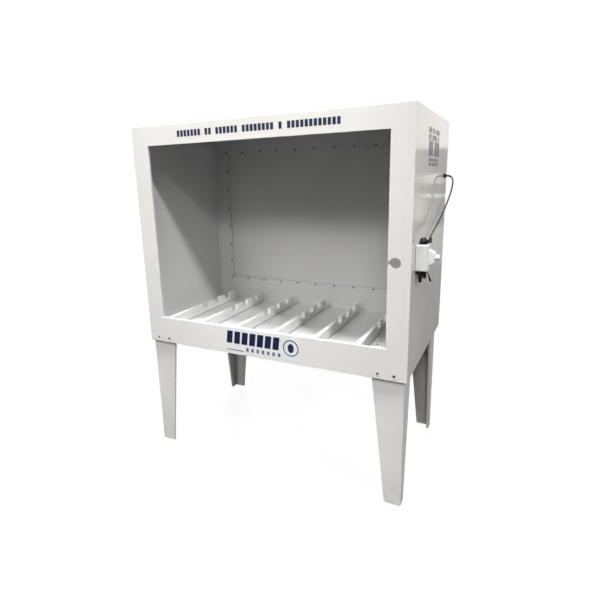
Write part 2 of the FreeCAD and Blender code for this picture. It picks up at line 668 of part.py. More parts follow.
def make_switch_cover():
    y = tuple(FRONT + b for b in BOX_BEHIND)
    x = (BOX_RIM_X, COVER_X)
    inside = 10.0
    seal = rounded_box(x, y, BOX_Z, BOX_CORNER)
    seal = seal.cut(rounded_box((x[0] - 1, x[1] + 1), (y[0] + inside, y[1] - inside),
                                (BOX_Z[0] + inside, BOX_Z[1] - inside), BOX_CORNER / 2))
    through = lid_screw_holes(BOX_RIM_X - 1)
    export("switch_cover_gasket", seal.cut(through))
    cover = rounded_box((COVER_X, COVER_FACE_X), y, BOX_Z, BOX_CORNER)
    rim = [e for e in cover.Edges if abs(e.CenterOfMass.x - COVER_FACE_X) < 0.01]
    cover = cover.makeFillet(1.8, rim).fuse(knob_boss()).removeSplitter()
    bush = rod(BUSH_R + 0.1, (COVER_X - 1, BOX_MID_Y, KNOB_Z), (BUSH_X, BOX_MID_Y, KNOB_Z))
    shaft = rod(SHAFT_R + 0.3, (BUSH_X - 1, BOX_MID_Y, KNOB_Z), (BOSS_X + 1, BOX_MID_Y, KNOB_Z))
    export("switch_cover", cover.cut([bush, shaft] + through))
    export("switch_cover_screws", [dome_screw(LID_SCREW_HEAD, LID_SCREW_R, (COVER_FACE_X, *at),
                                              (BOX_RIM_X - LID_SCREW_DEEP, *at))
                                   for at in lid_screw_places()])


# ---- dimmer: module, shaft and knob ----
def make_dimmer():
    y, z = centre = (BOX_MID_Y, KNOB_Z)
    half = DIMMER_HALF
    body = plate(DIMMER_X, (y - half, y + half), (z - half, z + half), 1.5)
    body = body.fuse(rod(BUSH_R, (DIMMER_X[1] - 1, *centre), (BUSH_X, *centre)))
    bore = rod(SHAFT_R + RUNNING, (SHAFT_START_X - 0.5, *centre), (BUSH_X + 1, *centre))
    export("dimmer_module", body.cut(bore))
    shaft_end = KNOB_X[1] - SHAFT_IN_KNOB
    export("knob_shaft", rod(SHAFT_R, (SHAFT_START_X, *centre), (shaft_end, *centre)))
    knob = cone(KNOB_R, KNOB_R - KNOB_TAPER, (KNOB_X[0], *centre), (KNOB_X[1], *centre))
    crown = [e for e in knob.Edges if abs(e.CenterOfMass.x - KNOB_X[1]) < 0.01]
    knob = knob.makeFillet(1.6, crown)
    flutes = []
    for i in range(KNOB_FLUTES):
        angle = 2 * math.pi * (i + 0.5) / KNOB_FLUTES
        at = (y + (KNOB_R + 0.5) * math.cos(angle), z + (KNOB_R + 0.5) * math.sin(angle))
        flutes.append(rod(FLUTE_R, (KNOB_X[0] + 3, *at), (KNOB_X[1] + 1, *at)))
    socket = rod(SHAFT_R, (KNOB_X[0] - 1, *centre), (shaft_end, *centre))
    export("dimmer_knob", knob.cut(flutes + [socket]))


# ---- toggle switch in the box's underside ----
def make_toggle():
    x, y, pivot = TOGGLE
    under = BOX_Z[0]
    seat = under + BOX_WALL
    half, height = TOGGLE_BODY
    bottom = seat + TOGGLE_SEAT
    export("toggle_switch_body", box((x - half, x + half), (y - half, y + half), (bottom, bottom + height)))
    mouth = pivot - TOGGLE_MOUTH
    bushing = rod(TOGGLE_THREAD_R, (x, y, mouth), (x, y, bottom))
    socket = rod(BALL_BORE_R, (x, y, pivot), (x, y, seat))
    funnel = cone(FUNNEL_R, BALL_BORE_R, (x, y, mouth - 0.5), (x, y, pivot))
    across = (y - TOGGLE_THREAD_R - 1, y + TOGGLE_THREAD_R + 1)
    pin = rod(PIN_R, (x, across[0], pivot), (x, across[1], pivot))
    export("toggle_bushing", bushing.cut([socket, funnel, pin]))
    export("toggle_pin", pin.common(rod(TOGGLE_THREAD_R, (x, y, pivot - 2 * PIN_R), (x, y, pivot + 2 * PIN_R))))
    nut_flats, nut_h = TOGGLE_NUT
    nut = hexagon(nut_flats, (x, y, under - nut_h), (x, y, under))
    export("toggle_nut", nut.cut(rod(TOGGLE_THREAD_R, (x, y, under - nut_h - 1), (x, y, under + 1))))
    swell, round_z = pivot - NECK_LENGTH, pivot - TOGGLE_REACH + BAT_R
    lever = Part.makeSphere(BALL_R, Vector(x, y, pivot))
    lever = lever.fuse([rod(NECK_R, (x, y, pivot), (x, y, swell)),
                        cone(NECK_R, BAT_R, (x, y, swell), (x, y, round_z)),
                        Part.makeSphere(BAT_R, Vector(x, y, round_z))])
    lever = lever.cut(rod(PIN_R + RUNNING, (x, across[0], pivot), (x, across[1], pivot)))
    lever.rotate(Vector(*TOGGLE), Y_AXIS, -TOGGLE_LEAN)
    export("toggle_lever", lever)


# ---- cable glands and connectors ----
def light_gland_nut():
    """The light box's gland; gives back its locknut."""
    y, z = FRONT + GLAND_BEHIND, GLAND_Z
    inside = INNER_HALF - GLAND_INSIDE
    body_flats, cap_flats, nut_flats = GLAND_FLATS
    body = rod(GLAND_THREAD_R, (inside, y, z), (GLAND_THREAD_X, y, z))
    body = body.fuse(hexagon(body_flats, (HALF_WIDTH, y, z), (GLAND_FLANGE_X, y, z)))
    bore = rod(CABLE_R, (inside - 1, y, z), (GLAND_NOSE_X + 1, y, z))
    export("light_gland_body", body.cut(bore))
    cap = hexagon(cap_flats, (GLAND_CAP_X[0], y, z), (GLAND_CAP_X[1], y, z))
    cap = cap.fuse(cone(*GLAND_NOSE_R, (GLAND_CAP_X[1], y, z), (GLAND_NOSE_X, y, z)))
    thread = rod(GLAND_THREAD_R, (HALF_WIDTH, y, z), (GLAND_THREAD_X, y, z))
    export("light_gland_cap", cap.cut([thread, bore]))
    nut = hexagon(nut_flats, (INNER_HALF - LOCKNUT_HEIGHT, y, z), (INNER_HALF, y, z))
    return nut.cut(rod(GLAND_THREAD_R, (INNER_HALF - LOCKNUT_HEIGHT - 1, y, z), (INNER_HALF + 1, y, z)))


def entry_nut(at, seat, inward):
    """A locknut inside the switch box; inward is the way from its seat, along z."""
    far = seat + inward * LOCKNUT_HEIGHT
    nut = hexagon(ENTRY_NUT_FLATS, (*at, seat), (*at, far))
    return nut.cut(rod(BOX_ENTRY_R, (*at, seat - inward), (*at, far + inward)))


def swivel_elbow_nut():
    """The elbow on the box's top; gives back its locknut."""
    at, centre, knuckle = ELBOW[:2], Vector(*ELBOW), Vector(*ELBOW_KNUCKLE)
    top, inner_top = BOX_Z[1], BOX_Z[1] - BOX_WALL
    thread_end = inner_top - LOCKNUT_HEIGHT - THREAD_SHOWING
    seat, cap_end, nose = (knuckle + ELBOW_AIM * d for d in (ELBOW_SEAT, ELBOW_CAP, ELBOW_NOSE))
    elbow = rod(BOX_ENTRY_R, (*at, thread_end), (*at, top))
    elbow = elbow.fuse([hexagon(ELBOW_FLATS, (*at, top), (*at, top + ELBOW_FLANGE)),
                        rod(ELBOW_COLLAR_R, (*at, top + ELBOW_FLANGE - 1), ELBOW),
                        Part.makeSphere(ELBOW_BALL_R, centre), rod(ELBOW_ARM_R, centre, knuckle),
                        Part.makeSphere(ELBOW_ARM_R, knuckle), rod(ELBOW_ARM_R, knuckle, seat)])
    bore = rod(CABLE_R, knuckle, nose + ELBOW_AIM)
    export("cable_elbow", elbow.cut([rod(ELBOW_PASSAGE_R, (*at, thread_end - 1), ELBOW),
                                     rod(CABLE_R, centre, knuckle), bore]))
    cap = hexagon(ELBOW_CAP_FLATS, seat, cap_end).fuse(cone(*ELBOW_NOSE_R, cap_end, nose))
    export("cable_elbow_cap", cap.cut(bore))
    return entry_nut(at, inner_top, -1)


def supply_gland_nut():
    """The two-way gland under the box; gives back its locknut."""
    at, under = SUPPLY_AT, BOX_Z[0]
    inner_under = under + BOX_WALL
    thread_end = inner_under + LOCKNUT_HEIGHT + THREAD_SHOWING
    neck_r, neck = SUPPLY_NECK
    blank_under = under - BLANK_DEPTH
    blank = cone(*BLANK_R, (*BLANK_AT, under), (*BLANK_AT, blank_under))
    rim = [e for e in blank.Edges if abs(e.CenterOfMass.z - blank_under) < 0.01]
    gland = rod(BOX_ENTRY_R, (*at, under), (*at, thread_end))
    gland = gland.fuse([rod(SUPPLY_FLANGE_R, (*at, under - SUPPLY_FLANGE), (*at, under)),
                        cone(neck_r, SUPPLY_FLANGE_R, (*at, under - neck), (*at, under - SUPPLY_FLANGE)),
                        blank.makeFillet(3.0, rim)])
    entry = rod(SUPPLY_ENTRY_R, (*at, under - SUPPLY_ENTRY_DEPTH), (*at, thread_end + 1))
    export("supply_gland_body", gland.cut(entry))
    cap = hexagon(SUPPLY_CAP_FLATS, (*at, under - SUPPLY_CAP), (*at, under - neck))
    cap = cap.fuse(cone(*SUPPLY_NOSE_R, (*at, under - SUPPLY_CAP), (*at, under - SUPPLY_MOUTH)))
    export("supply_gland_cap", cap.cut(entry))
    return entry_nut(at, inner_under, 1)


def make_glands():
    export("gland_locknuts", [light_gland_nut(), swivel_elbow_nut(), supply_gland_nut()])


# ---- cables ----
def cable(name, points, radius):
    """A round cable along straight runs joined by arcs as large as the runs allow."""
    corners = [Vector(*p) for p in points]
    edges, start, length = [], corners[0], 0.0
    radii = []
    for before, corner, after in zip(corners, corners[1:], corners[2:]):
        into = (corner - before).normalize()
        out = (after - corner).normalize()
        turn = into.getAngle(out)
        short = min((corner - before).Length, (after - corner).Length)
        reach = 0.45 * short
        bend = reach / math.tan(turn / 2)
        radii.append(bend)
        arc_start, arc_end = corner - into * reach, corner + out * reach
        half_way = (out - into).normalize()
        middle = corner + half_way * (bend / math.cos(turn / 2) - bend)
        edges.append(Part.LineSegment(start, arc_start).toShape())
        edges.append(Part.Arc(arc_start, middle, arc_end).toShape())
        length += (arc_start - start).Length + bend * turn
        start = arc_end
    edges.append(Part.LineSegment(start, corners[-1]).toShape())
    length += (corners[-1] - start).Length
    path = Part.Wire(edges)
    section = Part.Wire([Part.Circle(corners[0], corners[1] - corners[0], radius).toShape()])
    solid = path.makePipeShell([section], True, True)
    wanted = math.pi * radius ** 2 * length
    print(f"{name}: length {length:.1f}, radii {[round(r) for r in radii]}, "
          f"volume ratio {solid.Volume / wanted:.4f}")
    return solid


def make_light_cable():
    """From the light box's gland down to the connector on the switch box."""
    start = Vector(GLAND_NOSE_X, FRONT + GLAND_BEHIND, GLAND_Z)
    nose = Vector(*ELBOW_KNUCKLE) + ELBOW_AIM * ELBOW_NOSE
    last = nose + ELBOW_AIM * CABLE_LAST_RUN
    sag = [(x, FRONT + behind, z) for x, behind, z in CABLE_SAG]
    export("light_cable", cable("light_cable", [start, *sag, last, nose], CABLE_R))


def main():
    os.makedirs("parts", exist_ok=True)
    make_front()
    make_sides()
    make_floor()
    make_rails()
    make_window()
    make_rear_cover()
    make_lamps()
    make_drain()
    make_legs()
    make_switch_box()
    make_switch_cover()
    make_dimmer()
    make_toggle()
    make_glands()
    make_light_cable()


main()
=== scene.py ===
"""Looks of the screen washout booth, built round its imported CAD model.

Metres, in the CAD's frame: +Z up, the open front faces -Y, the switch box is on the +X side.
"""
import json
import math
import random

import bmesh
import bpy
from mathutils import Matrix, Vector


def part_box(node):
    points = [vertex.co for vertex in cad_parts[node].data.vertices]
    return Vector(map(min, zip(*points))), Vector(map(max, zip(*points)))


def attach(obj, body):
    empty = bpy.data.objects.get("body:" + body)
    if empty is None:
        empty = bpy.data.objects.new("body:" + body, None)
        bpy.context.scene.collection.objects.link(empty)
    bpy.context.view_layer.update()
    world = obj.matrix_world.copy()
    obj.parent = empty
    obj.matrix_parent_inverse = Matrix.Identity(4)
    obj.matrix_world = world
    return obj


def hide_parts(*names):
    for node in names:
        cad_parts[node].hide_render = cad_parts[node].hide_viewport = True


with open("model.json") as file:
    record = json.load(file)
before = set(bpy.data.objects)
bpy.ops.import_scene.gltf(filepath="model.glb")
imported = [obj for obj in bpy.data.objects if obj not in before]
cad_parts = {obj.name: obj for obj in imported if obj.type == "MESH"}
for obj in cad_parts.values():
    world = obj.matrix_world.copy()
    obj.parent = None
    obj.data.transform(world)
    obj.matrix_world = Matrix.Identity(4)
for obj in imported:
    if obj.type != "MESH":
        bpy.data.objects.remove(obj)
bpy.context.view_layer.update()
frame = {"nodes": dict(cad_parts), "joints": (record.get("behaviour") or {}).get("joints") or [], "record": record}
INNER_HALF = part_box("right_side_panel")[0].x
INNER_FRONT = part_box("front_apron")[1].y
FLOOR_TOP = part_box("floor_pan")[1].z

MM = 0.001
X_AXIS = Vector((1, 0, 0))
Y_AXIS = Vector((0, 1, 0))
Z_AXIS = Vector((0, 0, 1))

# ---- camera: a standing person's eye, to the right of the booth's middle ----
CAMERA_AT = Vector((1.1185, -2.3601, 1.5573))
CAMERA_YAW = 0.4766
CAMERA_PITCH = -0.2288
CAMERA_ROLL = -0.0284
CAMERA_LENS = 27.336
CAMERA_SENSOR = 36
CAMERA_SHIFT = (0.0293, -0.0284)

# ---- the cable from the light box to the switch box ----
CABLE_DIAMETER = 8 * MM
CABLE_ROUTE = [
    (0.7560, 0.3475, 1.5380), (0.7700, 0.3475, 1.5380), (0.7830, 0.3475, 1.5305),
    (0.7905, 0.3465, 1.5170), (0.7920, 0.3415, 1.4960), (0.7900, 0.3215, 1.4640),
    (0.7870, 0.2765, 1.4320), (0.7850, 0.2015, 1.3990), (0.7820, 0.1095, 1.3610),
    (0.7790, 0.0175, 1.3290), (0.7770, -0.0685, 1.3070), (0.7790, -0.1485, 1.2960),
    (0.7850, -0.2335, 1.2900), (0.7901, -0.2994, 1.2888), (0.7923, -0.3181, 1.2773),
]
UPPER_SLEEVE_LENGTH = 26 * MM
LOWER_SLEEVE_LENGTH = 12 * MM

# ---- printed marks; a line is (left, right, low, high, bars in each of its groups) ----
FILM = 0.15 * MM
BAR_ROUND = 1.2 * MM
HEADER_LINE = (-0.440, 0.436, 1.767, 1.798, (7, 2, 6, 8, 1, 12))
APRON_LABEL = (-0.222, 0.222, 0.663, 0.790)
APRON_LABEL_ROUND = 4 * MM
APRON_LINE = (-0.211, 0.112, 0.705, 0.773, (7,))
APRON_SLANT = 0.12
APRON_RULE = (-0.212, -0.108, 0.6655, 0.6705)
APRON_RULE_ROUND = 1 * MM
APRON_SMALL_LINE = (-0.090, 0.112, 0.670, 0.690, (1,) * 7)
RING_CENTRE = (0.170, 0.726)
RING_OUTER = 0.0430
RING_INNER = 0.0375
DOT_HALF_WIDTH = 0.017
DOT_HALF_HEIGHT = 0.024
SIDE_BIG_LINE = (0.300, 0.596, 1.632, 1.700, (3, 4))
SIDE_LINES_ABOVE = ((0.288, 0.584, 1.733, 1.757, (4, 3, 5)),
                    (0.288, 0.584, 1.703, 1.727, (3, 6, 2)))
SIDE_LINES_BELOW = ((0.309, 0.574, 1.607, 1.622, (5, 4, 6)),
                    (0.309, 0.574, 1.587, 1.602, (4, 7, 3)))

# ---- weld beads ----
CHAMBER_WELD = 5 * MM
RAIL_WELD = 3 * MM
WELD_SEED = 7
WELD_STEP = 5 * MM
WELD_RIPPLE = 0.10         # shares of a bead's size
WELD_UNEVEN = 0.06
WELD_PROFILE = ((1.0, 0.0), (0.72, 0.22), (0.45, 0.45), (0.22, 0.72), (0.0, 1.0))

# ---- the dial's ticks and the knob's pointer, measured out from the knob's axis ----
TICKS = 11
TICK_START = 14.0 * MM
TICK_END = 15.6 * MM
LONG_TICK_END = 16.6 * MM
LONG_TICK_EVERY = 5
TICK_HALF_WIDTH = 0.35 * MM
POINTER_START = 2.5 * MM
POINTER_END = 9.6 * MM
POINTER_HALF_WIDTH = 0.7 * MM
POINTER_ROUND = 0.6 * MM

# ---- colours ----
WHITE = (0.80, 0.785, 0.755)
# painted shade: the darker grey of the chamber's faces stands for the dimmer light inside the booth
CHAMBER_SHADE = (0.62, 0.625, 0.62)
FOOT_DUST = (0.30, 0.27, 0.24)
# painted shade: the darker colour just above the floor at a rail's foot stands for the contact shadow there
RAIL_FOOT_SHADE = (0.20, 0.20, 0.19)

# ---- floor, room and lights ----
FLOOR_REACH = 40
FLOOR_GLOW = 0.91
ROOM_FRONT = 0.22
ROOM_BACK = 0.72
ROOM_LOW = 0.2
FACE_MIDDLE = (0, -0.45, 1.3)
WARM = (1.0, 0.93, 0.87)


def add_object(name, data):
    made = bpy.data.objects.new(name, data)
    bpy.context.scene.collection.objects.link(made)
    return made


def make_camera():
    forward = Vector((-math.sin(CAMERA_YAW) * math.cos(CAMERA_PITCH),
                      math.cos(CAMERA_YAW) * math.cos(CAMERA_PITCH), math.sin(CAMERA_PITCH)))
    level = Vector((math.cos(CAMERA_YAW), math.sin(CAMERA_YAW), 0))
    upright = level.cross(forward)
    right = level * math.cos(CAMERA_ROLL) + upright * math.sin(CAMERA_ROLL)
    up = upright * math.cos(CAMERA_ROLL) - level * math.sin(CAMERA_ROLL)
    data = bpy.data.cameras.new("camera")
    data.sensor_width = CAMERA_SENSOR
    data.lens = CAMERA_LENS
    data.shift_x, data.shift_y = CAMERA_SHIFT
    camera = add_object("camera", data)
    turn = Matrix((right, up, -forward)).transposed()
    camera.matrix_world = Matrix.Translation(CAMERA_AT) @ turn.to_4x4()
    bpy.context.scene.camera = camera


make_camera()


# ---- node materials ----
class Surface:
    """A material's node tree, with short calls for the nodes that the finishes share."""

    def __init__(self, name, roughness, metallic=0.0):
        self.material = bpy.data.materials.new(name)
        self.material.use_nodes = True
        self.tree = self.material.node_tree
        self.shader = self.tree.nodes["Principled BSDF"]
        self.shader.inputs["Roughness"].default_value = roughness
        self.shader.inputs["Metallic"].default_value = metallic
        self.place = self.add("ShaderNodeTexCoord").outputs["Object"]

    def add(self, kind, **settings):
        node = self.tree.nodes.new(kind)
        for key, value in settings.items():
            setattr(node, key, value)
        return node

    def link(self, source, target):
        self.tree.links.new(source, target)

    def noise(self, scale, detail=3.0, stretch=(1, 1, 1), roughness=0.5):
        mapping = self.add("ShaderNodeMapping")
        mapping.inputs["Scale"].default_value = stretch
        self.link(self.place, mapping.inputs["Vector"])
        node = self.add("ShaderNodeTexNoise")
        node.inputs["Scale"].default_value = scale
        node.inputs["Detail"].default_value = detail
        node.inputs["Roughness"].default_value = roughness
        self.link(mapping.outputs["Vector"], node.inputs["Vector"])
        return node.outputs["Fac"]

    def range(self, value, low, high, to_low=0.0, to_high=1.0):
        node = self.add("ShaderNodeMapRange", interpolation_type="SMOOTHSTEP")
        self.link(value, node.inputs["Value"])
        set_range(node, low, high, to_low, to_high)
        return node.outputs["Result"]

    def maths(self, operation, a, b):
        node = self.add("ShaderNodeMath", operation=operation)
        for socket, value in zip(node.inputs, (a, b)):
            if isinstance(value, (int, float)):
                socket.default_value = value
            else:
                self.link(value, socket)
        return node.outputs["Value"]

    def split_place(self):
        split = self.add("ShaderNodeSeparateXYZ")
        self.link(self.place, split.inputs["Vector"])
        return split.outputs

    def height(self):
        return self.split_place()["Z"]

    def chamber_side(self):
        """1 on the faces that look into the chamber, 0 elsewhere."""
        place = self.split_place()
        across = self.maths("ABSOLUTE", place["X"], 0)
        between = self.range(across, INNER_HALF + 0.5 * MM, INNER_HALF + 3 * MM, 1, 0)
        behind = self.range(place["Y"], INNER_FRONT - 3 * MM, INNER_FRONT - 0.5 * MM)
        return self.maths("MULTIPLY", between, behind)

    def mix(self, share, a, b):
        """A colour between a and b; each is a colour or another node's output."""
        node = self.add("ShaderNodeMix", data_type="RGBA")
        self.link(share, node.inputs["Factor"])
        for socket, value in ((node.inputs["A"], a), (node.inputs["B"], b)):
            self.colour_in(socket, value)
        return node.outputs["Result"]

    def colour_in(self, socket, value):
        if isinstance(value, tuple):
            socket.default_value = (*value, 1)
        else:
            self.link(value, socket)

    def colour(self, value):
        self.colour_in(self.shader.inputs["Base Color"], value)

    def roughness(self, value):
        self.link(value, self.shader.inputs["Roughness"])

    def bump(self, *layers):
        """Layers of (height output, depth in metres), one bump after another."""
        normal = None
        for value, depth in layers:
            node = self.add("ShaderNodeBump")
            node.inputs["Strength"].default_value = 1.0
            node.inputs["Distance"].default_value = depth
            self.link(value, node.inputs["Height"])
            if normal:
                self.link(normal, node.inputs["Normal"])
            normal = node.outputs["Normal"]
        self.link(normal, self.shader.inputs["Normal"])


def set_range(node, low, high, to_low, to_high):
    for key, number in (("From Min", low), ("From Max", high),
                        ("To Min", to_low), ("To Max", to_high)):
        node.inputs[key].default_value = number


def shade(colour, factor):
    return tuple(c * factor for c in colour)


def plate_plastic(name, colour, roughness, waviness=0.07 * MM, stain=0.05, foot_dust=0.0,
                  inside_shade=None, shaded_foot=None):
    """Extruded plate: cloudy colour, a gentle wave, fine grain, rubbed marks and scratches.

    foot_dust is how strongly dust covers the lowest 0.2 m. A plate that walls the chamber takes
    the darker colour given for its inside on its chamber side, as painted shade for the dim light
    in the booth, and a piece that stands on the chamber's floor is darkened just above the given
    foot height, as painted contact shade where it meets the floor."""
    s = Surface(name, roughness)
    clouds = s.noise(scale=2.2, detail=4)
    shown = s.mix(s.range(clouds, 0.35, 0.7), shade(colour, 1 - stain), colour)
    marks = s.range(s.noise(scale=9, detail=8, stretch=(1, 1, 0.22), roughness=0.72), 0.62, 0.72)
    shown = s.mix(s.maths("MULTIPLY", marks, 0.35), shown, shade(colour, 0.88))
    scratches = s.range(s.noise(scale=60, detail=2, stretch=(0.05, 0.05, 1.3)), 0.71, 0.74)
    shown = s.mix(s.maths("MULTIPLY", scratches, 0.25), shown, shade(colour, 0.80))
    if foot_dust:
        low = s.range(s.height(), 0.01, 0.22, foot_dust, 0)
        patch = s.maths("MULTIPLY", low, s.range(s.noise(scale=22, detail=6), 0.3, 0.65))
        shown = s.mix(patch, shown, FOOT_DUST)
    # painted shade: the chamber side takes the darker inside colour
    if inside_shade:
        shown = s.mix(s.chamber_side(), shown, inside_shade)
    # painted contact shade just above the floor where the piece stands
    if shaded_foot:
        foot_shade = s.range(s.height(), shaded_foot + 1 * MM, shaded_foot + 9 * MM, 0.75, 0)
        shown = s.mix(foot_shade, shown, RAIL_FOOT_SHADE)
    s.colour(shown)
    rubbed = s.maths("MULTIPLY", s.maths("ADD", marks, scratches), 0.12)
    s.roughness(s.maths("ADD", rubbed, s.range(clouds, 0.3, 0.7, roughness, roughness + 0.07)))
    wave, grain = s.noise(scale=3.1, detail=1), s.noise(scale=420, detail=2)
    s.bump((wave, waviness * 8), (grain, 0.05 * MM), (scratches, -0.02 * MM))
    return s.material


def moulded(name, colour, roughness, fleck=0.12):
    """Moulded plastic or rubber: fine texture, faint flow marks and fingerprints."""
    s = Surface(name, roughness)
    flow = s.noise(scale=26, detail=4, stretch=(1, 1, 0.4))
    s.colour(s.mix(s.range(flow, 0.3, 0.7), shade(colour, 1 - fleck), colour))
    s.roughness(s.range(s.noise(scale=55, detail=6), 0.45, 0.65, roughness, roughness + 0.16))
    s.bump((s.noise(scale=900, detail=2), 0.04 * MM))
    return s.material


def metal(name, colour, roughness, tarnish=0.3):
    """Plated or bare metal with a turned grain and spots of tarnish."""
    s = Surface(name, roughness, metallic=1.0)
    spots = s.range(s.noise(scale=240, detail=6), 0.5, 0.7)
    s.colour(s.mix(spots, colour, shade(colour, 1 - tarnish)))
    s.roughness(s.range(s.noise(scale=700, detail=3), 0.3, 0.7, roughness, roughness + 0.2))
    s.bump((s.noise(scale=1500, detail=2, stretch=(1, 1, 0.1)), 0.02 * MM))
    return s.material


def lamp_glass(name, colour, dusty):
    """The coated glass of a lamp tube, a little darker where dust lies on it."""
    s = Surface(name, 0.12)
    s.colour(s.mix(s.range(s.noise(scale=40, detail=5), 0.4, 0.7), colour, dusty))
    s.bump((s.noise(scale=300, detail=2), 0.01 * MM))
    return s.material


def print_film(name, colour, roughness):
    """Printed vinyl: an even colour with faint wear and tiny air pockets under it."""
    s = Surface(name, roughness)
    wear = s.range(s.noise(scale=160, detail=6), 0.58, 0.78)
    s.colour(s.mix(wear, colour, tuple(0.9 * c + 0.02 for c in colour)))
    s.bump((s.noise(scale=120, detail=3), 0.04 * MM))
    return s.material


FINISHES = {
    # painted shade: the shell's chamber side and the chamber's own plates take a darker grey for the dimmer light
    # inside the booth
    "shell_plastic": plate_plastic("shell_plastic", WHITE, 0.12, inside_shade=CHAMBER_SHADE),
    "chamber_plastic": plate_plastic("chamber_plastic", (0.68, 0.685, 0.68), 0.34, stain=0.08),
    # painted contact shade at the rails' feet
    "rail_plastic": plate_plastic("rail_plastic", (0.78, 0.78, 0.77), 0.33, shaded_foot=FLOOR_TOP),
    "leg_plastic": plate_plastic("leg_plastic", (0.78, 0.765, 0.735), 0.28, foot_dust=0.18),
    "diffuser": plate_plastic("diffuser", (0.66, 0.655, 0.635), 0.38),
    "seal": moulded("seal", (0.035, 0.035, 0.037), 0.6),
    "dark_screw": metal("dark_screw", (0.10, 0.10, 0.105), 0.38),
    "zinc_screw": metal("zinc_screw", (0.50, 0.49, 0.47), 0.34),
    "white_sheet": moulded("white_sheet", (0.82, 0.82, 0.80), 0.3),
    "lamp_tube": lamp_glass("lamp_tube", (0.86, 0.87, 0.85), dusty=(0.74, 0.75, 0.74)),
    "lamp_cap": metal("lamp_cap", (0.72, 0.72, 0.72), 0.3),
    "lamp_holder": moulded("lamp_holder", (0.78, 0.77, 0.73), 0.4),
    "drain_plastic": moulded("drain_plastic", (0.72, 0.72, 0.70), 0.35),
    "box_plastic": moulded("box_plastic", (0.88, 0.885, 0.85), 0.34, fleck=0.04),
    "knob_plastic": moulded("knob_plastic", (0.88, 0.865, 0.82), 0.3, fleck=0.04),
    "shaft_brass": metal("shaft_brass", (0.72, 0.52, 0.25), 0.28),
    "module_black": moulded("module_black", (0.03, 0.03, 0.032), 0.45),
    "lever_black": moulded("lever_black", (0.012, 0.012, 0.013), 0.22),
    "gland_black": moulded("gland_black", (0.010, 0.010, 0.011), 0.25),
    "cable_rubber": moulded("cable_rubber", (0.055, 0.058, 0.062), 0.4),
}


def finish_cad_nodes():
    """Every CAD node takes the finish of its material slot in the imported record."""
    slots = {part["node"]: part["material_slot"] for part in frame["record"]["subparts"]}
    for name, node in frame["nodes"].items():
        node.data.materials.clear()
        node.data.materials.append(FINISHES[slots[name]])


finish_cad_nodes()


# ---- making pieces ----
def piece(name, mesh_or_curve, finish, body="root"):
    """A finished piece that rides on a CAD body."""
    made = add_object(name, mesh_or_curve)
    made.data.materials.append(finish)
    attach(made, body)
    return made


def mesh_from(bm, name, smooth=False):
    bmesh.ops.recalc_face_normals(bm, faces=bm.faces)
    for face in bm.faces:
        face.smooth = smooth
    mesh = bpy.data.meshes.new(name)
    bm.to_mesh(mesh)
    bm.free()
    return mesh


def angles(sides):
    return [2 * math.pi * k / sides for k in range(sides)]


def bridge(bm, loops):
    """Four-sided faces between each loop of vertices and the next."""
    for low, high in zip(loops, loops[1:]):
        count = len(low)
        for k in range(count):
            after = (k + 1) % count
            bm.faces.new((low[k], low[after], high[after], high[k]))


def close_ends(bm, loops):
    bm.faces.new(list(reversed(loops[0])))
    bm.faces.new(loops[-1])


# ---- cable and its sleeves ----
def cable_curve(name, bevel):
    data = bpy.data.curves.new(name, "CURVE")
    data.dimensions = "3D"
    spline = data.splines.new("NURBS")
    spline.points.add(len(CABLE_ROUTE) - 1)
    for point, place in zip(spline.points, CABLE_ROUTE):
        point.co = (*place, 1)
    spline.order_u = 3
    spline.use_endpoint_u = True
    spline.resolution_u = 16
    data.bevel_depth = bevel
    data.bevel_resolution = 6
    return data


def cable_line():
    """The cable's own centreline, as points read from its spline."""
    bare = add_object("bare_line", cable_curve("bare_line", 0))
    bpy.context.view_layer.update()
    mesh = bpy.data.meshes.new_from_object(bare)
    line = [v.co.copy() for v in mesh.vertices]
    bpy.data.meshes.remove(mesh)
    bpy.data.objects.remove(bare)
    return line


def along(line, distance):
    """The point that far along the line, and the line's direction there."""
    for a, b in zip(line, line[1:]):
        step = (b - a).length
        if distance <= step:
            return a + (b - a) * (distance / step), (b - a).normalized()
        distance -= step
    return line[-1], (line[-1] - line[-2]).normalized()


def sleeve(name, line, length):
    """A tapered, ribbed strain relief along the start of a line, closed down to the cable."""
    rings, sides, plain_rings = 34, 20, 2
    wide, narrow, rib = 5.6 * MM, 4.5 * MM, 0.35 * MM
    bm = bmesh.new()
    loops = []
    for i in range(rings + 1):
        share = i / rings
        at, aim = along(line, share * length)
        turn = aim.to_track_quat("Z", "Y")
        radius = wide + (narrow - wide) * share
        if plain_rings < i < rings - plain_rings:
            radius += rib * math.cos(i * math.pi / 2)
        if i == rings:
            radius = CABLE_DIAMETER / 2
        loops.append([bm.verts.new(at + turn @ Vector((radius * math.cos(a),
                                                       radius * math.sin(a), 0)))
                      for a in angles(sides)])
    bridge(bm, loops)
    close_ends(bm, loops)
    return piece(name, mesh_from(bm, name, smooth=True), FINISHES["gland_black"])


def make_cable():
    cable = piece("light_cable_run", cable_curve("light_cable_run", CABLE_DIAMETER / 2),
                  FINISHES["cable_rubber"])
    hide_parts("light_cable")
    line = cable_line()
    sleeves = [sleeve("cable_sleeve_upper", line, UPPER_SLEEVE_LENGTH),
               sleeve("cable_sleeve_lower", list(reversed(line)), LOWER_SLEEVE_LENGTH)]


make_cable()


# ---- printed marks: plain bars and a ring in place of lettering ----
NAVY = print_film("navy_print", (0.009, 0.014, 0.052), 0.35)
GREY_BLUE = print_film("grey_blue_print", (0.10, 0.12, 0.18), 0.4)
DARK_GREY = print_film("dark_grey_print", (0.13, 0.135, 0.16), 0.35)
CLEAR_FILM = print_film("pale_film", (0.78, 0.79, 0.80), 0.16)


def add_prism(bm, outline, across, up, out, base):
    """A film of the given outline (pairs along across and up) standing FILM proud of base."""
    lower = [bm.verts.new(base + across * a + up * b) for a, b in outline]
    upper = [bm.verts.new(v.co + out * FILM) for v in lower]
    bm.faces.new(upper)
    bm.faces.new(list(reversed(lower)))
    bridge(bm, [lower, upper])


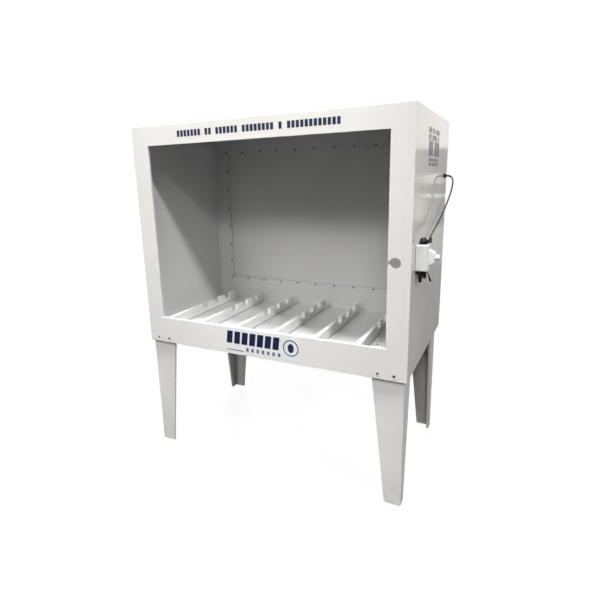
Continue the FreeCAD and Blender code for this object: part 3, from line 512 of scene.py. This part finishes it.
def bar(left, right, low, high, slant=0.0, radius=BAR_ROUND):
    """An upright bar's outline with its corners rounded and an optional slant."""
    outline = []
    for cx, cy, start in ((right - radius, high - radius, 0), (left + radius, high - radius, 90),
                          (left + radius, low + radius, 180), (right - radius, low + radius, 270)):
        for step in (0, 30, 60, 90):
            angle = math.radians(start + step)
            x, y = cx + radius * math.cos(angle), cy + radius * math.sin(angle)
            outline.append((x + slant * (y - low), y))
    return outline


def dashes(left, right, low, high, groups, gap_share=0.28, slant=0.0):
    """Groups of upright bars that fill a line from left to right."""
    units = sum(groups) + len(groups) - 1
    pitch = (right - left) / units
    radius = min(BAR_ROUND, pitch * 0.2)
    bars, at = [], left
    for count in groups:
        for _ in range(count):
            bars.append(bar(at, at + pitch * (1 - gap_share), low, high, slant, radius))
            at += pitch
        at += pitch
    return bars


def ellipse(centre, half_width, half_height, sides=32):
    return [(centre[0] + half_width * math.cos(a), centre[1] + half_height * math.sin(a))
            for a in angles(sides)]


def film(name, outlines, across, up, out, base, finish):
    bm = bmesh.new()
    for outline in outlines:
        add_prism(bm, outline, across, up, out, base)
    return piece(name, mesh_from(bm, name), finish)


def front_film(name, outlines, base, finish):
    """A film on a face that looks along -Y."""
    return film(name, outlines, X_AXIS, Z_AXIS, -Y_AXIS, base, finish)


def ring_film(name, centre, outer, inner, base, finish, sides=64):
    """A flat ring on a face that looks along -Y."""
    bm = bmesh.new()
    loops = []
    for radius, depth in ((outer, 0), (outer, FILM), (inner, FILM), (inner, 0)):
        loops.append([bm.verts.new(base + X_AXIS * (centre[0] + radius * math.cos(a))
                                   + Z_AXIS * (centre[1] + radius * math.sin(a))
                                   - Y_AXIS * depth)
                      for a in angles(sides)])
    bridge(bm, loops + loops[:1])
    return piece(name, mesh_from(bm, name), finish)


def make_prints():
    header_face = Vector((0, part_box("header_panel")[0].y, 0))
    apron_face = Vector((0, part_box("front_apron")[0].y, 0))
    on_label = apron_face - Y_AXIS * FILM
    front_film("header_bars", dashes(*HEADER_LINE), header_face, NAVY)
    front_film("apron_film", [bar(*APRON_LABEL, radius=APRON_LABEL_ROUND)], apron_face, CLEAR_FILM)
    front_film("apron_bars", dashes(*APRON_LINE, gap_share=0.24, slant=APRON_SLANT), on_label,
               NAVY)
    front_film("apron_line", [bar(*APRON_RULE, radius=APRON_RULE_ROUND)]
               + dashes(*APRON_SMALL_LINE, gap_share=0.1), on_label, GREY_BLUE)
    ring_film("apron_ring", RING_CENTRE, RING_OUTER, RING_INNER, on_label, NAVY)
    front_film("apron_dot", [ellipse(RING_CENTRE, DOT_HALF_WIDTH, DOT_HALF_HEIGHT)], on_label,
               NAVY)
    # the side's lines are measured back from the front
    side_corner = Vector((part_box("right_side_panel")[1].x, apron_face.y, 0))
    bars = [one for line in SIDE_LINES_ABOVE for one in dashes(*line)]
    bars += dashes(*SIDE_BIG_LINE, gap_share=0.2)
    bars += [one for line in SIDE_LINES_BELOW for one in dashes(*line)]
    film("side_bars", bars, Y_AXIS, Z_AXIS, X_AXIS, side_corner, DARK_GREY)


make_prints()


# ---- weld beads ----
def add_bead(bm, start, end, side_a, side_b, size, dice):
    """A rippled plastic weld in the corner between two plates; the sides point along each."""
    run = end - start
    steps = max(2, int(run.length / WELD_STEP))
    loops = []
    for i in range(steps + 1):
        at = start + run * (i / steps)
        uneven = dice.uniform(-WELD_UNEVEN, WELD_UNEVEN)
        ripple = size * (1 + WELD_RIPPLE * math.cos(i * math.pi) + uneven)
        loops.append([bm.verts.new(at)]
                     + [bm.verts.new(at + side_a * (a * ripple) + side_b * (b * ripple))
                        for a, b in WELD_PROFILE])
    bridge(bm, loops)
    close_ends(bm, loops)


def make_welds():
    dice = random.Random(WELD_SEED)
    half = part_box("right_side_panel")[0].x
    floor_low, floor_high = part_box("floor_pan")
    wall_low, wall_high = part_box("back_wall")
    front, back, low, high = floor_low.y, wall_low.y, floor_high.z, wall_high.z
    bm = bmesh.new()

    def chamber_bead(start, end, side_a, side_b):
        add_bead(bm, Vector(start), Vector(end), side_a, side_b, CHAMBER_WELD, dice)

    for side in (-1, 1):
        x, inward = side * half, -X_AXIS * side
        chamber_bead((x, front, low), (x, back, low), inward, Z_AXIS)
        chamber_bead((x, back, low), (x, back, high), inward, -Y_AXIS)
        chamber_bead((x, front, high), (x, back, high), inward, -Z_AXIS)
    for y, inward in ((front, Y_AXIS), (back, -Y_AXIS)):
        chamber_bead((-half, y, low), (half, y, low), inward, Z_AXIS)
    chamber_bead((-half, back, high), (half, back, high), -Y_AXIS, -Z_AXIS)
    piece("chamber_welds", mesh_from(bm, "chamber_welds", smooth=True),
          FINISHES["chamber_plastic"])

    bm = bmesh.new()
    for name in sorted(name for name in frame["nodes"] if name.startswith("screen_rail_")):
        rail_low, rail_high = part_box(name)
        add_bead(bm, Vector((rail_low.x, rail_low.y, low)), Vector((rail_low.x, rail_high.y, low)),
                 -X_AXIS, Z_AXIS, RAIL_WELD, dice)
    piece("rail_welds", mesh_from(bm, "rail_welds", smooth=True), FINISHES["rail_plastic"])


make_welds()


# ---- dial ticks and the knob's pointer ----
def dial_direction(degrees):
    """A direction on the switch cover, clockwise from straight up as seen from outside."""
    turn = math.radians(degrees)
    return Y_AXIS * math.sin(turn) + Z_AXIS * math.cos(turn)


def make_dial():
    knob_low, knob_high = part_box("dimmer_knob")
    middle = (knob_low + knob_high) / 2
    cover_face = Vector((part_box("switch_cover")[1].x, middle.y, middle.z))
    knob_face = Vector((knob_high.x, middle.y, middle.z))
    sweep = frame["joints"][0]["range_deg"][1]
    bm = bmesh.new()
    for i in range(TICKS):
        aim = dial_direction(sweep * (i / (TICKS - 1) - 0.5))
        reach = LONG_TICK_END if i % LONG_TICK_EVERY == 0 else TICK_END
        tick = [(TICK_START, -TICK_HALF_WIDTH), (reach, -TICK_HALF_WIDTH),
                (reach, TICK_HALF_WIDTH), (TICK_START, TICK_HALF_WIDTH)]
        add_prism(bm, tick, aim, aim.cross(X_AXIS), X_AXIS, cover_face)
    piece("dial_ticks", mesh_from(bm, "dial_ticks"), DARK_GREY)
    aim = dial_direction(-sweep / 2)
    pointer = bar(POINTER_START, POINTER_END, -POINTER_HALF_WIDTH, POINTER_HALF_WIDTH,
                  radius=POINTER_ROUND)
    bm = bmesh.new()
    add_prism(bm, pointer, aim, aim.cross(X_AXIS), X_AXIS, knob_face)
    piece("knob_pointer", mesh_from(bm, "knob_pointer"), DARK_GREY, body="dimmer")


make_dial()


# ---- stage and light ----
def make_floor():
    """A nearly white floor that shows the booth's shadow and lights nothing."""
    bm = bmesh.new()
    bm.faces.new([bm.verts.new((x * FLOOR_REACH, y * FLOOR_REACH, 0))
                  for x, y in ((-1, -1), (1, -1), (1, 1), (-1, 1))])
    floor = add_object("floor", mesh_from(bm, "floor"))
    s = Surface("floor_pale", 0.9)
    s.colour((0.10, 0.10, 0.10))
    s.shader.inputs["Emission Color"].default_value = (1, 1, 1, 1)
    s.shader.inputs["Emission Strength"].default_value = FLOOR_GLOW
    s.shader.inputs["Specular IOR Level"].default_value = 0
    floor.data.materials.append(s.material)
    floor.visible_diffuse = False
    floor.visible_glossy = False


def aim_light(light, towards):
    light.rotation_mode = "QUATERNION"
    light.rotation_quaternion = towards.to_track_quat("Z", "Y")


def make_sun(name, azimuth, elevation, strength, spread):
    """A far light; azimuth 0 shines from the front, and positive azimuths from the right."""
    data = bpy.data.lights.new(name, "SUN")
    data.energy = strength
    data.angle = math.radians(spread)
    a, e = math.radians(azimuth), math.radians(elevation)
    aim_light(add_object(name, data),
              Vector((math.sin(a) * math.cos(e), -math.cos(a) * math.cos(e), math.sin(e))))


def make_softbox(name, at, target, size, watts, colour=(1, 1, 1), spread=180):
    """A panel of light at a place, facing a target, that the camera doesn't see."""
    data = bpy.data.lights.new(name, "AREA")
    data.color = colour
    data.spread = math.radians(spread)
    data.shape = "RECTANGLE"
    data.size, data.size_y = size
    data.energy = watts
    light = add_object(name, data)
    light.location = at
    light.visible_camera = False
    aim_light(light, Vector(at) - Vector(target))


def make_world():
    """White to the camera; to the object a room that is dim in front, bright behind, dark below."""
    world = bpy.data.worlds.new("studio")
    bpy.context.scene.world = world
    world.use_nodes = True
    nodes, links = world.node_tree.nodes, world.node_tree.links
    split = nodes.new("ShaderNodeSeparateXYZ")
    links.new(nodes.new("ShaderNodeTexCoord").outputs["Generated"], split.inputs["Vector"])

    def span(source, low, high, to_low, to_high):
        node = nodes.new("ShaderNodeMapRange")
        node.interpolation_type = "SMOOTHSTEP"
        links.new(source, node.inputs["Value"])
        set_range(node, low, high, to_low, to_high)
        return node.outputs["Result"]

    level = nodes.new("ShaderNodeMath")
    level.operation = "MULTIPLY"
    links.new(span(split.outputs["Y"], -0.4, 0.7, ROOM_FRONT, ROOM_BACK), level.inputs[0])
    links.new(span(split.outputs["Z"], -0.3, 0.6, ROOM_LOW, 1.0), level.inputs[1])
    soft = nodes["Background"]
    soft.inputs["Color"].default_value = (1.0, 0.985, 0.96, 1)
    links.new(level.outputs["Value"], soft.inputs["Strength"])
    white = nodes.new("ShaderNodeBackground")
    white.inputs["Color"].default_value = (1, 1, 1, 1)
    white.inputs["Strength"].default_value = 1.0
    path = nodes.new("ShaderNodeLightPath")
    mix = nodes.new("ShaderNodeMixShader")
    links.new(path.outputs["Is Camera Ray"], mix.inputs["Fac"])
    links.new(soft.outputs["Background"], mix.inputs[1])
    links.new(white.outputs["Background"], mix.inputs[2])
    links.new(mix.outputs["Shader"], nodes["World Output"].inputs["Surface"])


def make_lights():
    make_softbox("front_box_left", (-2.9, -6.8, 6.5), FACE_MIDDLE, size=(4.6, 2.6), watts=302)
    make_softbox("front_box_right", (2.6, -6.8, 5.95), FACE_MIDDLE, size=(2.0, 1.0), watts=166)
    make_sun("right_sun", azimuth=62, elevation=37, strength=1.5, spread=5)
    make_sun("rear_sun", azimuth=-150, elevation=40, strength=1.5, spread=10)
    make_softbox("overhead_box", (0, -0.82, 3.4), (0, -0.95, 0), size=(1.7, 0.35), watts=25,
                 spread=44)
    # small lights far behind, seen only as gloss on the booth's right side
    for name, at, target, size, watts in (
            ("gloss_box_high", (1.45, 4.0, 2.50), (0.9, 0, 1.7), (1.0, 1.3), 4.0),
            ("gloss_box_tall", (1.66, 4.0, 1.35), (0.9, 0, 1.4), (0.24, 0.9), 0.34),
            ("gloss_box_ball", (1.39, 4.0, 1.48), (0.9, 0, 1.4), (0.07, 0.11), 0.09),
            ("gloss_box_bar", (1.39, 4.0, 1.26), (0.9, 0, 1.4), (0.10, 0.04), 0.05),
            ("gloss_box_frame", (1.55, 4.0, 1.06), (0.9, 0, 1.4), (0.08, 0.28), 0.12),
            ("gloss_box_low", (1.42, 4.0, 0.62), (0.9, 0, 1.2), (0.5, 0.5), 0.35)):
        make_softbox(name, at, target, size, watts, WARM)


make_floor()
make_lights()
make_world()
bpy.context.scene.view_settings.view_transform = "Standard"
